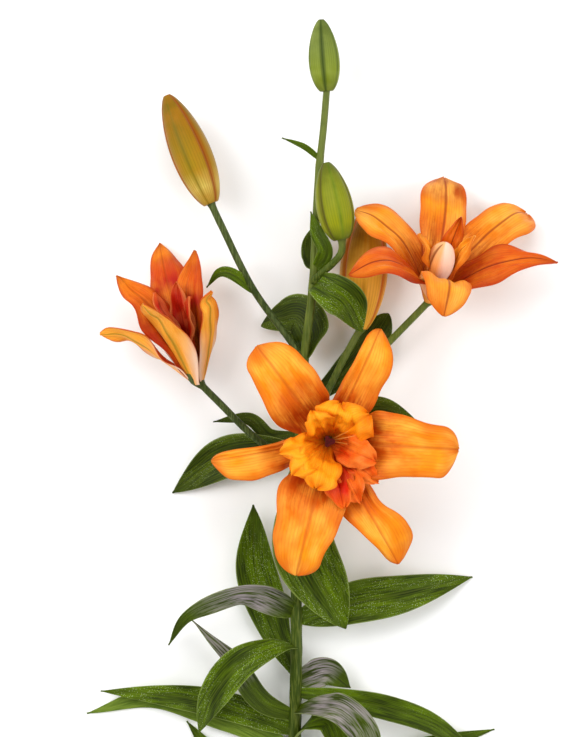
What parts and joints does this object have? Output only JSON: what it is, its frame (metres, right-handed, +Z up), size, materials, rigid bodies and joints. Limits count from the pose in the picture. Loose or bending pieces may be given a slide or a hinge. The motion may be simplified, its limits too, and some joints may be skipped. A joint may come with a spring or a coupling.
{
  "type": "cut lily stem",
  "caption": "Cut orange double-flowered lily lying on its back, with open flowers, closed buds and lance-shaped leaves on one stem.",
  "frame": {"origin": "middle of the underside of the whole plant's box, on the surface it lies on", "axes": "+Y along the stem from the cut end to the top bud, +X across the plant, +Z up from the surface, the way the front flower faces"},
  "size_m": [0.2944, 0.5164, 0.0968],
  "materials": {
    "stem": "waxy",
    "leaf": "satin",
    "orange_tepal": "satin",
    "petaloid": "satin",
    "cream_petaloid": "satin",
    "pistil": "matte",
    "green_bud": "satin",
    "olive_bud": "satin",
    "orange_bud": "satin"
  },
  "bodies": {
    "root": {"bract_bud_stalk": "leaf", "bract_stem": "leaf", "bud_orange": "orange_bud", "bud_second": "green_bud", "bud_top": "green_bud", "bud_upper_left": "olive_bud", "front_petaloid_left": "petaloid", "front_petaloid_lower": "petaloid", "front_petaloid_lower_right": "petaloid", "front_petaloid_right": "petaloid", "front_petaloid_upper_left": "petaloid", "front_petaloid_upper_right": "petaloid", "front_tepal_bottom": "orange_tepal", "front_tepal_left": "orange_tepal", "front_tepal_lower_right": "orange_tepal", "front_tepal_right": "orange_tepal", "front_tepal_upper_left": "orange_tepal", "front_tepal_upper_right": "orange_tepal", "leaf_01_right": "leaf", "leaf_02_left": "leaf", "leaf_03_left_pale": "leaf", "leaf_04_left_long": "leaf", "leaf_05_right_low": "leaf", "leaf_06_left_thin": "leaf", "leaf_07_right_arch": "leaf", "leaf_08_right_long": "leaf", "leaf_09_behind_right": "leaf", "leaf_10_behind_left": "leaf", "leaf_11_front_droop": "leaf", "leaf_12_right_broad": "leaf", "leaf_13_left_twist": "leaf", "leaf_14_front_hanging": "leaf", "leaf_15_left_broad": "leaf", "leaf_16_right_upper": "leaf", "leaf_17_behind_right_upper": "leaf", "leaf_18_behind_curled": "leaf", "leaf_19_bud_foot": "leaf", "leaf_20_cupped": "leaf", "left_petaloid": "petaloid", "left_tepal_centre": "orange_tepal", "left_tepal_front": "orange_tepal", "left_tepal_inner_left": "orange_tepal", "left_tepal_inner_right": "orange_tepal", "left_tepal_outer_left": "orange_tepal", "left_tepal_outer_right": "orange_tepal", "main_stem": "stem", "pistil_front": "pistil", "right_centre_petaloid": "cream_petaloid", "right_tepal_bottom": "orange_tepal", "right_tepal_lower_left": "orange_tepal", "right_tepal_right": "orange_tepal", "right_tepal_top": "orange_tepal", "right_tepal_upper_left": "orange_tepal", "right_tepal_upper_right": "orange_tepal", "stalk_front_flower": "stem", "stalk_left_flower": "stem", "stalk_orange_bud": "stem", "stalk_right_flower": "stem", "stalk_second_bud": "stem", "stalk_upper_left_bud": "stem"}
  },
  "joints": []
}
